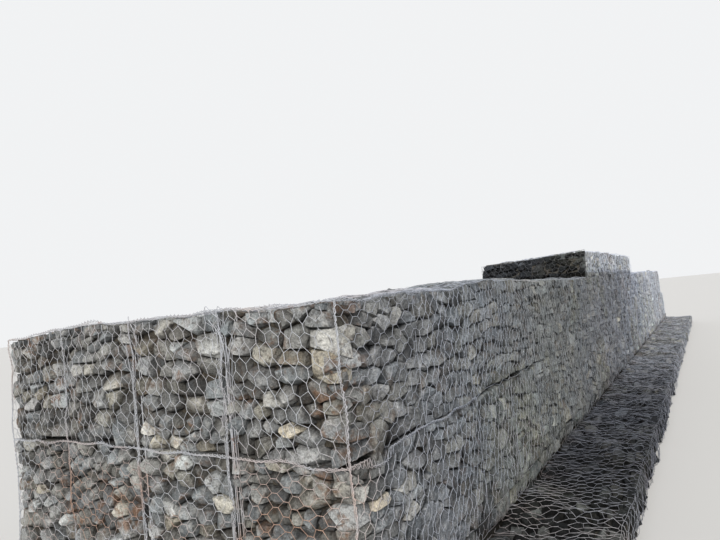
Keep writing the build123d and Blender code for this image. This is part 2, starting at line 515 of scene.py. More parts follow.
def settle(points):
    """Points of the built wall, from the corner, moved by a few centimetres where it has sagged."""
    x, y, z = points.T
    lifted = np.clip(z / LEVELS[TOP + 1], 0, 1)
    sway = 0.5 + 0.5 * np.sin(1.1 * x + 1.9 * z + 0.4) * np.cos(0.43 * x + 0.9 * z)
    sag = 0.5 + 0.5 * np.sin(0.83 * x + 1.7 * y + 1.0)
    heap = np.exp(-(((x - HEAP_AT) / HEAP_WIDTH) ** 2)) * (z > LEVELS[TOP])
    slump = np.clip(y - 3.0, 0, 1) ** 2
    y_room = np.clip((return_bays - y) / 2.0, 0, 1)
    under_seam = np.clip((z - 1.2) / 0.3, 0, 1) * (z <= LEVELS[TOP])
    gape = GAPE * np.sin(np.pi * np.clip((x - GAPE_FROM) / GAPE_LENGTH, 0, 1)) * (y < 0.3)
    x_inside = np.clip(x / 0.5, 0, 1) * np.clip((face_bays - x) / 0.5, 0, 1)
    y_inside = np.clip(y / 0.5, 0, 1) * np.clip((return_bays - y) / 0.5, 0, 1)
    level = 0.5 + 0.25 * (np.sin(4.4 * x + 3.9 * y + 0.6) + np.sin(9.1 * x - 7.7 * y + 2 * z))
    upright = np.sin(5.3 * z + 0.9 * x) + 0.6 * np.sin(12.1 * z + 2.1 * x + 2.4 * y)
    outer = np.clip((-0.55 - y) / 0.5, 0, 1)
    foot = np.exp(-(((z - FOOT_HEIGHT) / FOOT_RUN) ** 2)) * (z > MATTRESS_HEIGHT)
    foot = foot * (y < 0.3) * x_inside
    foot_wave = np.sin(5.3 * x + 0.7) + 0.6 * np.sin(11.9 * x + 2.0)
    tilt = np.clip(y - 0.3, 0, 1.5) * np.clip(1 - (x - CREST_START) / 2, 0, 1)
    crest_sag = CREST_SAG * tilt * (z > LEVELS[CREST]) * (x > CREST_START - 0.1)
    creep = 0.5 + 0.25 * (np.sin(2.9 * x + 1.0) * np.cos(1.3 * x + 0.4) + np.sin(7.7 * x + z))
    return np.column_stack((
        x + SWAY_LEAN * sway * lifted * np.clip(2 - x, 0, 1) + FACE_WAVE * upright * x_inside,
        y + SWAY * sway * y_room + FACE_WAVE * upright * y_inside
        + (TOE_EDGE + TOE_CREEP * creep) * outer - FOOT_OUT * (1 + 0.6 * foot_wave) * foot,
        z - lifted * (SAG * sag + SLUMP * slump + UNEVEN * level) + HEAP * heap * lifted
        - gape * under_seam + FOOT_UP * foot_wave * foot - crest_sag,
    ))


BANK_RUN, BANK_RISE, BANK_WAVE = 0.40, 0.030, 0.028


def bank_up(points):
    """Points of the mattress, raised where it is banked up against the foot of the wall."""
    x, y, z = points.T
    beside = np.clip((y + BANK_RUN) / BANK_RUN, 0, 1) * np.clip(z / MATTRESS_HEIGHT, 0, 1)
    wave = 0.6 * np.sin(2.7 * x + 0.5) + 0.4 * np.sin(6.3 * x + 1.9)
    return np.column_stack((x, y, z + beside * (BANK_RISE + BANK_WAVE * wave)))


top_corner = np.array([[0.0, 0.0, LEVELS[TOP + 1]]])
print("the top corner settles by", (settle(top_corner) - top_corner).round(3), "m")

# %% Carry points to the wall
WIRE_LIFT = 0.004


def carry(panel, local, lift=0.0):
    """Flat panel points to the settled wall, in the frame's own place, no lower than the lift."""
    local = np.array(local, dtype=float)
    rise = belly(panel, local[:, 0], local[:, 1])
    local = round_off(panel, local)
    local[:, 2] += rise
    at = settle(from_corner(panel, local))
    if panel.node == "toe_mattress":
        at = bank_up(at)
    at[:, 2] = np.maximum(at[:, 2], lift)
    return at + np.array(corner)


print("the first panel starts at", carry(panels[0], [(0.0, 0.0, 0.0)]).round(3))

# %% [markdown]
# ## Broken stone
#
# The fill is quarried rock, angular and slabby, 10 to 30 cm long, packed by hand against the mesh.
# Scattered copies of one rock would leave holes or sink into each other. Here each stone starts as
# a cube around its own centre and is cut by a plane halfway to every neighbour, as in a dry stone
# wall, then its front is split off and its rim knocked off by a few more cuts. bisect_plane makes
# each cut and edgeloop_fill closes it.

# %% Cut one stone
STRETCH = 1.55  # stones are this much wider than high, so the cutting is done in stretched height
BLANK = 0.6  # the side of the cube that a stone is cut from
JOINT_GAPS = (0.003, 0.004, 0.007, 0.011, 0.018)
JOINT_LEAN, JOINT_TAPER = 0.32, (-0.10, 0.50)
WALL_LEAN, WALL_TAPER = 0.10, (0.0, 0.12)
SUNK_CHANCE, SUNK_DEPTH, FRONT_DEPTH = 0.11, (0.040, 0.065), (0.001, 0.032)
FRONT_TILT, FRONT_LOOK_UP = 0.22, 0.05
KNOCK_SHARE, KNOCK_STEEPNESS = (0.42, 0.84), (0.4, 1.9)
LEAST_EDGE = 0.004


def cut(bm, point, normal):
    geometry = bm.verts[:] + bm.edges[:] + bm.faces[:]
    made = bmesh.ops.bisect_plane(
        bm, geom=geometry, dist=1e-5, plane_co=point, plane_no=normal, clear_outer=True
    )
    rim = [part for part in made["geom_cut"] if isinstance(part, bmesh.types.BMEdge)]
    if rim:
        bmesh.ops.edgeloop_fill(bm, edges=rim)


def cut_stone(bm, centre, neighbours, walls, depth, knocks, loose, draw):
    """A stone round centre, a place (u, v) in stretched height, between its neighbours."""
    bmesh.ops.delete(bm, geom=bm.verts, context="VERTS")
    bmesh.ops.create_cube(bm, size=1.0)
    bmesh.ops.scale(bm, vec=(BLANK, BLANK, depth), verts=bm.verts)
    bmesh.ops.translate(bm, vec=(*centre, -depth / 2), verts=bm.verts)
    for other in neighbours:
        way = other - centre
        lean = Vector((-way.y, way.x)) * draw.uniform(-JOINT_LEAN, JOINT_LEAN)
        normal = Vector((*(way + lean).normalized(), draw.uniform(*JOINT_TAPER)))
        gap = loose * draw.choice(JOINT_GAPS)
        middle = centre + way * (0.5 - gap / way.length)
        cut(bm, (*middle, -depth * 0.30), normal)
    for wall, slack in walls:
        way = wall - centre
        lean = Vector((-way.y, way.x)) * draw.uniform(-WALL_LEAN, WALL_LEAN)
        middle = centre + way * (0.5 - draw.uniform(0.000, slack) / way.length)
        cut(bm, (*middle, 0), (*(way + lean).normalized(), draw.uniform(*WALL_TAPER)))
    sunk = draw.random() < SUNK_CHANCE
    front = -loose * draw.uniform(*(SUNK_DEPTH if sunk else FRONT_DEPTH))
    tilt = draw.gauss(0, FRONT_TILT), draw.gauss(FRONT_LOOK_UP, FRONT_TILT)
    cut(bm, (*centre, front), (*tilt, 1))
    turn = draw.uniform(0, math.tau)
    for knock in range(knocks):
        angle = turn + math.tau * (knock + draw.uniform(-0.3, 0.3)) / knocks
        way = Vector((math.cos(angle), math.sin(angle)))
        reach = max(way.dot(v.co.xy - centre) for v in bm.verts)
        share = 1 - loose * (1 - draw.uniform(*KNOCK_SHARE))
        steep = draw.uniform(*KNOCK_STEEPNESS)
        cut(bm, (*(centre + way * reach * share), front), (way.x * steep, way.y * steep, 1))
    bmesh.ops.remove_doubles(bm, verts=bm.verts, dist=LEAST_EDGE)
    bmesh.ops.scale(bm, vec=(1, 1 / STRETCH, 1), verts=bm.verts)
    bmesh.ops.recalc_face_normals(bm, faces=bm.faces)


print("stretch", STRETCH)

# %% [markdown]
# ## Filling a bay
#
# Stones lie in rough rows, because flat stones are stacked, but no row keeps its height. The
# centres are drawn row by row and then nudged, and the few stones that one notices in the photo
# get their own place and tone. At a free corner some stones reach the edge and some stop short, as
# in a real corner, where a straight cut would look sawn. Each stone also gets three numbers of its
# own in a colour attribute: how light it is, how warm, and where its grain starts. The material
# reads them, so no two stones look cast in one mould. The fourth number is the depth behind the
# nearest open face, for the painted shade in the gaps. The near part of the long face is packed
# tighter, as its gaps are finer in the photo.

# %% Say which bays are damp, which are painted in shade, and which stones stand out
# The end of the crest is painted in shade, and the mattress is damp and painted in shade, less so
# towards its far end, which is painted as drier and sunlit.
CREST_END_PAINTED_SHADE, CREST_END_RUN = 0.94, 0.08
BASE_DAMP = 0.15
MATTRESS_DRIER_AND_SUNLIT = 0.6  # by its far end
DRIER_IF_LIGHT = 0.35


def damp_and_shade_of(panel, start):
    """How damp and dark the stones of a bay are: the mattress is wet and painted in shade, least at
    its far end, which is painted as drier and sunlit, and the end of the crest is painted in shade.
    """
    if panel.node == "toe_mattress":
        along = start + panel.frame[0, 3]
        return 1.0 - MATTRESS_DRIER_AND_SUNLIT * along / face_bays
    if panel.node == "crest" and panel.frame[0, 2] < -0.5:
        return CREST_END_PAINTED_SHADE
    return BASE_DAMP if panel.node.startswith("base") else 0.0


# Stones that stand out in the photo: their place from the corner, how light and how warm they are.
MARKED_REACH = 0.085
MARKED = {
    (0.0, 0.157, 2.141): (0.97, 0.992), (0.0, 0.044, 2.018): (0.90, 0.985),
    (0.0, 0.452, 1.708): (0.96, 0.995), (0.0, 0.517, 1.624): (0.92, 0.05),
    (0.0, 1.871, 1.655): (1.00, 0.60), (0.0, 1.804, 1.548): (0.95, 0.95),
    (0.0, 1.457, 2.270): (0.93, 0.00), (0.0, 1.338, 2.443): (0.90, 0.10),
    (0.300, 0.0, 1.210): (0.98, 1.00), (0.132, 0.0, 2.271): (0.90, 0.90),
    (0.140, 0.0, 1.590): (0.50, 0.30),
}


def marked_in(panel, start):
    """The stones of the list that lie in this bay, as a place in stretched height and a tint."""
    found = []
    for place, look in MARKED.items():
        flat = panel.frame[:3, :3].T @ (np.array(place) - panel.frame[:3, 3])
        inside = start <= flat[0] < start + panel.bay and 0 <= flat[1] <= panel.height
        if inside and abs(flat[2]) < 0.001:
            found.append((Vector((flat[0], flat[1] * STRETCH)), look))
    return found


print("stones that stand out", len(MARKED))

# %% Draw where the stones of a bay lie
ROW_HEIGHTS, STONE_WIDTHS = (0.5, 1.65), (0.40, 1.65)  # in usual ones, before they are fitted in
ROW_SWELL = (0.01, 0.035)
NUDGE_ALONG, NUDGE_UP = (0.4, 0.6), (0.14, 0.86)  # shares of the stone's own width and row
GRADES = {
    "near": {"stone": (0.185, 0.118), "depth": 0.13, "knocks": 6},
    "open": {"stone": (0.190, 0.122), "depth": 0.11, "knocks": 3},
    "plain": {"stone": (0.200, 0.128), "depth": 0.09, "knocks": 2},
}


def draw_centres(width, height, size, draw):
    """Places of stones in rough rows, in stretched height, for this usual size of a stone."""
    rows = [draw.uniform(*ROW_HEIGHTS) for _ in range(max(1, round(height / size[1])))]
    rows = [row * height / sum(rows) for row in rows]
    centres = []
    level = 0.0
    swell, phase = draw.uniform(*ROW_SWELL), draw.uniform(0, math.tau)
    for row in rows:
        usual = size[0] * (0.55 + 0.45 * row / size[1])
        steps = []
        while sum(steps) < width - 0.3 * usual:
            steps.append(usual * draw.uniform(*STONE_WIDTHS))
        scale = width / sum(steps)
        at = 0.0
        for step in steps:
            u = at + step * scale * draw.uniform(*NUDGE_ALONG)
            v = level + row * draw.uniform(*NUDGE_UP) + swell * math.sin(6.5 * u + phase)
            centres.append(Vector((u, min(max(v, 0.02), height - 0.02) * STRETCH)))
            at += step * scale
        level += row
    return centres


trial = draw_centres(1.0, 1.0, GRADES["near"]["stone"], random.Random(0))
print("about", len(trial), "stones to the square metre")

# %% Fill one bay with stones
NEIGHBOUR_REACH = 0.42
BED_SLACK, CORNER_SLACK, RIM_SLACK = 0.010, 0.075, 0.055  # how far short of an edge stones stop
TIGHT, TIGHT_UP_TO = 0.62, 9  # the front has this share of the usual gaps, up to this place


def walls_of(panel, start):
    """The four edges of a bay, as a way to mirror a point in them, and how ragged each is."""
    number = round(start / panel.bay)
    (left, right), (_, uppers) = edges_of[id(panel)]
    left_slack, right_slack, top_slack = (
        slack if free and not panel.lid else BED_SLACK for free, slack in (
            (left and number == 0, CORNER_SLACK),
            (right and number == panel.bays - 1, CORNER_SLACK), (uppers[number], RIM_SLACK),
        )
    )
    low, high = start + SEAM, start + panel.bay - SEAM
    foot, top = SEAM * STRETCH, (panel.height - SEAM) * STRETCH
    return (
        (0, low, left_slack), (0, high, right_slack), (1, foot, BED_SLACK), (1, top, top_slack)
    )


def mirrored(point, axis, line):
    """The point on the other side of a straight edge, as if a stone lay there."""
    other = point.copy()
    other[axis] = 2 * line - point[axis]
    return other


def new_stones():
    """An empty bmesh whose points can say how light and warm a stone is, and how damp and painted
    in shade.
    """
    bm = bmesh.new()
    return bm, bm.verts.layers.float_color.new("tint"), bm.verts.layers.float.new("damp")


def fill_bay(stones, panel, start, draw):
    """Adds the stones of the bay that starts at this u to the bmesh of the panel's stones."""
    grade = GRADES[panel.grade]
    centres = draw_centres(panel.bay, panel.height, grade["stone"], draw)
    one, tint, damp = new_stones()
    wet_and_shaded = damp_and_shade_of(panel, start)
    in_front = panel.frame[1, 2] < -0.5 and panel.frame[1, 3] == 0
    loose = TIGHT if in_front and panel.frame[0, 3] < TIGHT_UP_TO else 1.0
    passing = bpy.data.meshes.new("passing")
    for centre in centres:
        centre.x += start
    looks = {}
    for spot, look in marked_in(panel, start):
        centres = [c for c in centres if (c - spot).length > MARKED_REACH] + [spot]
        looks[tuple(spot)] = look
    edges = walls_of(panel, start)
    for centre in centres:
        near = [
            o for o in centres if o is not centre and (o - centre).length < NEIGHBOUR_REACH
        ]
        walls = [(mirrored(centre, axis, line), slack) for axis, line, slack in edges]
        walls = [wall for wall in walls if (wall[0] - centre).length < NEIGHBOUR_REACH]
        cut_stone(one, centre, near, walls, grade["depth"], grade["knocks"], loose, draw)
        own = (*looks.get(tuple(centre), (draw.random(), draw.random())), draw.random())
        for vert in one.verts:
            vert[tint] = (*own, 0.0)
            # How damp each stone is, and how deep it is painted in shade.
            vert[damp] = wet_and_shaded * (1 - DRIER_IF_LIGHT * own[0] ** 2)
        one.to_mesh(passing)
        stones.from_mesh(passing)
    bpy.data.meshes.remove(passing)
    one.free()
    return len(centres)


print("knocks to a stone", {name: grade["knocks"] for name, grade in GRADES.items()})

# %% Fill every panel and join the stones of each node
GAP_SHADE_DEPTH = 0.07
CORE_INSET, CORE_INSET_SHARE = 0.08, 0.35
LID_INSET, LID_RUN = 0.060, 0.35


def depth_behind(panel, local):
    """How deep points of a panel's stones lie behind the nearest face that shows."""
    depth = -local[:, 2]
    for free, distance, _, _ in rims_at(panel, local[:, 0], local[:, 1]):
        depth = np.where(free, np.minimum(depth, distance), depth)
    return depth


def rows_of(data, name, width):
    """The values of this name in a mesh's data, as rows this wide."""
    rows = np.empty((len(data), width))
    data.foreach_get(name, rows.ravel())
    return rows


def add_panel(whole, panel, draw):
    """Fills a panel and adds its stones, carried to the wall. Says how many there are."""
    part = new_stones()[0]
    count = sum(fill_bay(part, panel, bay * panel.bay, draw) for bay in range(panel.bays))
    mesh = bpy.data.meshes.new("panel_stones")
    part.to_mesh(mesh)
    part.free()
    flat = rows_of(mesh.vertices, "co", 3)
    tints, damp_and_shade_data = mesh.attributes["tint"].data, mesh.attributes["damp"].data
    tint = rows_of(tints, "color", 4)
    # The fourth number is how deep a point lies behind the open face, for the painted shade in the
    # gaps.
    tint[:, 3] = np.clip(depth_behind(panel, flat) / GAP_SHADE_DEPTH, 0, 1)
    tints.foreach_set("color", tint.ravel())
    if panel.lid:  # its stones stand back where the stones of the sides are
        flat = drawn_in(panel, flat, LID_INSET, LID_RUN)[0]
    # The stones at the end of the crest are painted in shade.
    if panel.node == "crest":
        from_end = from_corner(panel, flat)[:, 0] - CREST_START
        near_end = np.clip(1.5 - from_end / CREST_END_RUN, 0, 1)
        damp = rows_of(damp_and_shade_data, "value", 1)[:, 0]
        damp_and_shade_data.foreach_set("value", np.maximum(damp, CREST_END_PAINTED_SHADE * near_end))
    mesh.vertices.foreach_set("co", carry(panel, flat).ravel())
    whole.from_mesh(mesh)
    bpy.data.meshes.remove(mesh)
    return count


def add_cores(bm, node):
    """A block inside each basket, where the next stones would be, dark as painted shade."""
    for basket in (b for b in baskets if b.node == node):
        boxes = [plan_box(place) for place in basket.places]
        low = Vector((min(b[0] for b in boxes), min(b[1] for b in boxes), LEVELS[basket.course]))
        high = Vector((
            max(b[2] for b in boxes), max(b[3] for b in boxes),
            top_of(basket.course, basket.places[0]),
        ))
        inset = min(CORE_INSET, CORE_INSET_SHARE * (high.z - low.z))
        size = high - low - Vector((inset, inset, inset)) * 2
        place = Matrix.Translation((low + high) / 2 + corner) @ Matrix.Diagonal((*size, 1))
        bmesh.ops.create_cube(bm, size=1.0, matrix=place)


def piece(name, mesh, material, slot, *nodes):
    """Puts a mesh on the wall, in place of these nodes. Says how many triangles it has."""
    mesh.name = name
    mesh.materials.clear()
    mesh.materials.append(material)
    made = new_object(name, mesh)
    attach(made, "root")
    if nodes:
        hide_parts(*nodes)
    mesh.calc_loop_triangles()
    return len(mesh.loop_triangles)


STONE_SEED = 7000
stone_paint = bpy.data.materials.new("broken_grey_stone")
wire_paint = bpy.data.materials.new("weathered_zinc_wire")
node_names = sorted({basket.node for basket in baskets})
stone_total = 0
for node in node_names:
    whole = new_stones()[0]
    count = sum(
        add_panel(whole, panel, random.Random(STONE_SEED + number))
        for number, panel in enumerate(panels) if panel.node == node
    )
    add_cores(whole, node)
    mesh = bpy.data.meshes.new(node)
    whole.to_mesh(mesh)
    whole.free()
    triangles = piece(f"{node}_stones", mesh, stone_paint, "stone_fill", f"{node}_fill")
    stone_total += triangles
    print(f"{node}_stones", count, "stones", triangles, "triangles")
print("stone triangles", stone_total)

# %% [markdown]
# ## Double-twist mesh
#
# The mesh is woven: wires run side by side and are twisted together in pairs, each time with the
# other neighbour, which leaves six-sided openings. A hexagon pattern cut out of a sheet would look
# flat, so the wires are curves swept by a three-sided profile: at 3 mm thick nobody sees more
# sides. Beside the camera each wire is whole and turns round its partner, and elsewhere one bend
# of wire stands for each twist and two of its slants.

# %% Make the profile that is swept along the wires
def profile(name, sides):
    curve = bpy.data.curves.new(name, "CURVE")
    curve.dimensions = "2D"
    ring = curve.splines.new("POLY")
    ring.points.add(sides - 1)
    for number, point in enumerate(ring.points):
        angle = math.tau * number / sides
        point.co = (math.cos(angle), math.sin(angle), 0, 1)
    ring.use_cyclic_u = True
    return new_object(name, curve)


wire_profile = profile("wire_profile", 3)


def new_wires(name):
    curve = bpy.data.curves.new(name, "CURVE")
    curve.dimensions = "3D"
    curve.bevel_mode = "OBJECT"
    curve.bevel_object = wire_profile
    curve.use_fill_caps = True
    return curve


def add_wire(curve, points, radii):
    spline = curve.splines.new("POLY")
    spline.points.add(len(points) - 1)
    spline.points.foreach_set("co", np.column_stack((points, np.ones(len(points)))).ravel())
    spline.points.foreach_set("radius", np.broadcast_to(radii, len(points)).astype(np.float32))


def swept(curve):
    """The mesh of a curve's wires."""
    made = new_object(curve.name, curve)
    depsgraph = bpy.context.evaluated_depsgraph_get()
    mesh = bpy.data.meshes.new_from_object(made.evaluated_get(depsgraph))
    bpy.data.objects.remove(made)
    bpy.data.curves.remove(curve)
    return mesh


print("profile sides", len(wire_profile.data.splines[0].points))

# %% [markdown]
# ## Weaving a panel
#
# The pattern is laid out flat: columns of twists, every other row shifted by half a column, with
# the twist taking about half of each row. Real mesh is pulled about while it is filled, so the
# joints are nudged by the same smooth waves for all wires and by a few millimetres each, and each
# panel is pulled aslant by its own amount, most on the mattress and on top of the return. Some
# panels were cut with the twists lying level, and then the pattern is laid on its side.

# %% Lay out the lattice of a panel
COLUMNS_PER_METRE = 10
ROWS_PER_METRE = 11
TWIST_SHARE = 0.52
NUDGE = 0.013
WAVE, SLOW_WAVE = 0.018, 0.020
SHEAR = 0.10
MATTRESS_SHEAR, MATTRESS_SLACK = 0.17, 1.5
TOP_SHEAR = 0.22  # of the uppermost panels at the end of the return
LEVEL_TWISTS = {("top_corner", "y"), ("middle_corner", "x"), ("middle_return", "x")}


class Weave:
    """The lattice of one panel. Its twists are counted in rows and half columns."""

    def __init__(self, panel, draw):
        self.panel = panel
        faces = "x" if panel.faces_along else "y"
        self.level = (panel.node, faces) in LEVEL_TWISTS and panel.grade == "near"
        size = (panel.width, panel.height)
        self.across, self.along = size[::-1] if self.level else size
        self.columns = max(2, round(self.across * COLUMNS_PER_METRE))
        self.rows = max(2, round(self.along * ROWS_PER_METRE))
        self.shift = draw.uniform(0, math.tau)
        self.shear = draw.uniform(-SHEAR, SHEAR)
        self.slack = 1.0
        if panel.lid and panel.node == "toe_mattress":
            self.shear -= MATTRESS_SHEAR
            self.slack = MATTRESS_SLACK
        if faces == "x" and panel.grade == "near" and panel.frame[2, 3] >= LEVELS[TOP]:
            self.shear = 0.5 * self.shear - TOP_SHEAR
        self.draw = draw
        self.nudges = {}

    def nudge(self, row, half):
        if (row, half) not in self.nudges:
            self.nudges[row, half] = [self.draw.uniform(-NUDGE, NUDGE) for _ in range(3)]
        return self.nudges[row, half]

    def place(self, row, half, end):
        """Flat u, v and w of a twist's end, 0 for its lower and 1 for its upper one."""
        nudge = self.nudge(row, half)
        c = half / 2 * self.across / self.columns
        a = (row + 0.5 + TWIST_SHARE * (end - 0.5)) * self.along / self.rows
        wave = math.sin(5.1 * a + 3.3 * c + self.shift)
        slow = math.sin(2.3 * c - 1.7 * a + 2 * self.shift)
        c = c + self.slack * (WAVE * wave + SLOW_WAVE * slow + nudge[0])
        c = c + self.shear * (a - self.along / 2)
        a = a + self.slack * (WAVE * math.sin(4.3 * c - 2.0 * a + self.shift) + nudge[1])
        c = min(max(c, SEAM), self.across - SEAM)
        a = min(max(a, SEAM), self.along - SEAM)
        u, v = (a, c) if self.level else (c, a)
        return u, v, 0.001 + 0.4 * nudge[2]

    def selvedge(self, half, last):
        c = min(max(half / 2 * self.across / self.columns, SEAM), self.across - SEAM)
        a = self.along - SEAM if last else SEAM
        return (a, c, 0.002) if self.level else (c, a, 0.002)

    def end_of(self, row, half, end):
        if row < 0:
            return self.selvedge(half + (1 if half == 0 else -0.5), False)
        if row >= self.rows:
            return self.selvedge(half - 0.5, True)
        return self.place(row, half, end)


lattice = Weave(panels[0], random.Random(0))
print("the first panel has", lattice.columns, "columns and", lattice.rows, "rows")

# %% Weave every panel
WIRE_RADIUS = 0.0017
TWIST_RADIUS = 0.0029
FAR_GAUGE, FAR_GAUGE_FROM = 0.82, 5
STRAND_REACH = 0.0015  # from the middle of a twist to each of its two wires
HALF_TURNS = 3


def weave_bends(curve, weave):
    """One bend of wire for each twist, with the slants at its right."""
    gauge = 1.0 if weave.panel.frame[0, 3] < FAR_GAUGE_FROM else FAR_GAUGE
    radii = [gauge * r for r in (WIRE_RADIUS, TWIST_RADIUS, TWIST_RADIUS, WIRE_RADIUS)]
    for row in range(weave.rows):
        for half in range(row % 2, 2 * weave.columns + 1, 2):
            low, high = weave.place(row, half, 0), weave.place(row, half, 1)
            points = [low, high]
            if half < 2 * weave.columns:
                before, after = (weave.end_of(row + n, half + 1, n < 0) for n in (-1, 1))
                points = [before, low, high, after]
            add_wire(curve, carry(weave.panel, points, WIRE_LIFT), radii[: len(points)])


def weave_strands(curve, weave):
    """Whole wires, each turning round its left and its right neighbour in turn."""
    for wire in range(2 * weave.columns + 1):
        for hand in (-1, 1):
            halves = [wire - (row + wire) % 2 * hand for row in range(weave.rows)]
            if min(halves) < 0 or max(halves) > 2 * weave.columns or wire % 2 and hand > 0:
                continue
            points = []
            for row, half in enumerate(halves):
                low, high = (np.array(weave.place(row, half, end)) for end in (0, 1))
                side = np.array([0, 1, 0] if weave.level else [1, 0, 0])
                for step in range(HALF_TURNS + 1):
                    angle = math.pi * step + (0 if hand > 0 else math.pi)
                    offset = side * math.cos(angle) + np.array([0, 0, 0.3 * math.sin(angle + 1)])
                    at = low + (high - low) * step / HALF_TURNS
                    points.append(at + STRAND_REACH * offset)
            add_wire(curve, carry(weave.panel, points, WIRE_LIFT), WIRE_RADIUS)


MESH_SEED = 3000
mesh_total = 0
for node in node_names:
    for kind, lid in (("side", False), ("lid", True)):
        curve = new_wires(f"{node}_{kind}_mesh")
        for number, panel in enumerate(panels):
            if panel.node == node and panel.lid == lid:
                weave = Weave(panel, random.Random(MESH_SEED + number))
                (weave_strands if panel.grade == "near" else weave_bends)(curve, weave)
        if not len(curve.splines):
            bpy.data.curves.remove(curve)
            continue
        name = curve.name
        replaced = [f"{node}_cage"] if kind == "side" else []
        triangles = piece(name, swept(curve), wire_paint, "galvanised_wire", *replaced)
        mesh_total += triangles
        print(name, triangles, "triangles")
print("mesh triangles", mesh_total)

# %% [markdown]
# ## Edge wires and lacing
#
# Each panel is finished by a thicker selvedge wire, with the cut ends of the mesh wound round it,
# and the selvedges of two baskets are laced together. A texture on a bar would do from far away,
# but beside the camera the lacing is what one sees of a basket, so there each edge is a rope: two
# strands turned together and a third wire wound round them. A few tails of tie wire stick up where
# a lid was closed. The other edges are single slack wires.

# %% Find each edge of the wall once
def rim_lines(panel):
    """The rim and the diaphragms of a panel, bay by bay, in flat u, v."""
    bay, height = panel.bay, panel.height
    lines = [((n * bay, v), ((n + 1) * bay, v)) for n in range(panel.bays) for v in (0, height)]
    return lines + [((n * bay, 0), (n * bay, height)) for n in range(panel.bays + 1)]


LACED_UP_TO = 2  # the near end of the top rim


def is_laced(panel, ends):
    (x, _, z), (far_x, _, far_z) = ends
    if panel.grade != "near" or max(z, far_z) <= MATTRESS_HEIGHT:
        return False
    if panel.faces_along or x == far_x == 0:
        return True
    return far_x <= LACED_UP_TO and z == far_z >= LEVELS[TOP]


rims = {}
for panel in sorted(panels, key=lambda p: ("near", "open", "plain").index(p.grade)):
    for line in rim_lines(panel):
        ends = sorted(tuple(np.round(from_corner(panel, (*p, 0)), 2).tolist()) for p in line)
        rims.setdefault(tuple(ends), (panel, line))
laced = [rim for ends, rim in rims.items() if is_laced(rim[0], ends)]
plain = [rim for ends, rim in rims.items() if not is_laced(rim[0], ends)]
print("edges", len(rims), "laced", len(laced))

# %% Lace the near edges and draw the others
Strand = namedtuple("Strand", "spacing turn reach radius")
TWINED = Strand(0.02, 0.085, 0.0058, 0.0027)
WRAP = Strand(0.0105, 0.044, 0.0105, 0.0019)
UNEVEN_TURNS, OPENING, ROPE_SWAY = 1.5, 0.6, 0.009
SELVEDGE_RADIUS, SELVEDGE_POINTS_PER_METRE = 0.0022, 9
SELVEDGE_WOBBLE, SELVEDGE_OUT = 0.009, (-0.016, -0.004)
TAIL_PLACES = (0.86, 0.93, 1.00, 1.06, 1.08, 1.98, 2.02)  # along the rim of the return
TAIL_POINTS, TAIL_REACH = 26, (0.016, 0.050, 0.026)
ROPE_SEED, EDGE_SEED, TAIL_SEED = 6000, 5000, 8000


def rope_points(line, strand, phase, slack):
    """A strand that winds round a rim line, opening and closing, in flat u, v, w."""
    start, end = (np.array(p, dtype=float) for p in line)
    length = np.linalg.norm(end - start)
    share = np.linspace(0, 1, round(length / strand.spacing) + 1)
    side = np.array([start[1] - end[1], end[0] - start[0]]) / length
    angle = math.tau * share * length / strand.turn + phase
    angle = angle + UNEVEN_TURNS * np.sin(5 * share + slack)
    opening = OPENING * np.sin(7 * share + 2 * slack) ** 2 * np.sin(math.pi * share)
    reach = strand.reach * (1 + opening)
    sway = np.sin(math.pi * share) * (np.sin(6 * share + slack) + np.sin(15 * share))
    sway = ROPE_SWAY * sway
    flat = start + np.outer(share, end - start) + np.outer(sway + reach * np.cos(angle), side)
    return np.column_stack((flat, -0.002 + 0.6 * reach * np.sin(angle)))


def add_rope(curve, panel, line, draw):
    slack = draw.uniform(0, math.tau)
    for strand, phase in ((TWINED, 0), (TWINED, math.pi), (WRAP, slack)):
        points = rope_points(line, strand, phase, slack)
        add_wire(curve, carry(panel, points, WIRE_LIFT), strand.radius)


def edge_points(line, draw):
    """A slack wire along a rim line, in flat u, v, w."""
    start, end = (np.array(p, dtype=float) for p in line)
    steps = max(2, round(np.linalg.norm(end - start) * SELVEDGE_POINTS_PER_METRE))
    share = np.linspace(0, 1, steps + 1)
    wobble = [[draw.uniform(-SELVEDGE_WOBBLE, SELVEDGE_WOBBLE) for _ in "uv"] for _ in share]
    wobble[0] = wobble[-1] = [0, 0]
    out = [draw.uniform(*SELVEDGE_OUT) for _ in share]
    return np.column_stack((start + np.outer(share, end - start) + wobble, out))


def add_loose_end(curve, place, draw):
    """A tail of tie wire left crumpled above the edge, from the corner."""
    share = np.linspace(0, 1, TAIL_POINTS)
    path = np.array([place] * TAIL_POINTS, dtype=float)
    for axis, reach in enumerate(TAIL_REACH):
        for speed in (1, 2, 3.5):
            path[:, axis] += reach / speed * np.sin(math.tau * speed * share + draw.uniform(0, 6))
    path[:, 2] = np.maximum(path[:, 2], place[2]) * np.sin(math.pi * share) ** 0.1 + 0.004
    add_wire(curve, settle(path) + np.array(corner), TWINED.radius)


curve = new_wires("lacing")
for number, (panel, line) in enumerate(laced):
    add_rope(curve, panel, line, random.Random(ROPE_SEED + number))
for number, y in enumerate(TAIL_PLACES):
    add_loose_end(curve, (0.03, y, LEVELS[TOP + 1] - 0.004), random.Random(TAIL_SEED + number))
lacing_total = piece("lacing", swept(curve), wire_paint, "galvanised_wire")
curve = new_wires("edge_wires")
for number, (panel, line) in enumerate(plain):
    points = edge_points(line, random.Random(EDGE_SEED + number))
    add_wire(curve, carry(panel, points, WIRE_LIFT), SELVEDGE_RADIUS)
edge_total = piece("edge_wires", swept(curve), wire_paint, "galvanised_wire")
print("lacing", lacing_total, "edge wires", edge_total, "triangles")

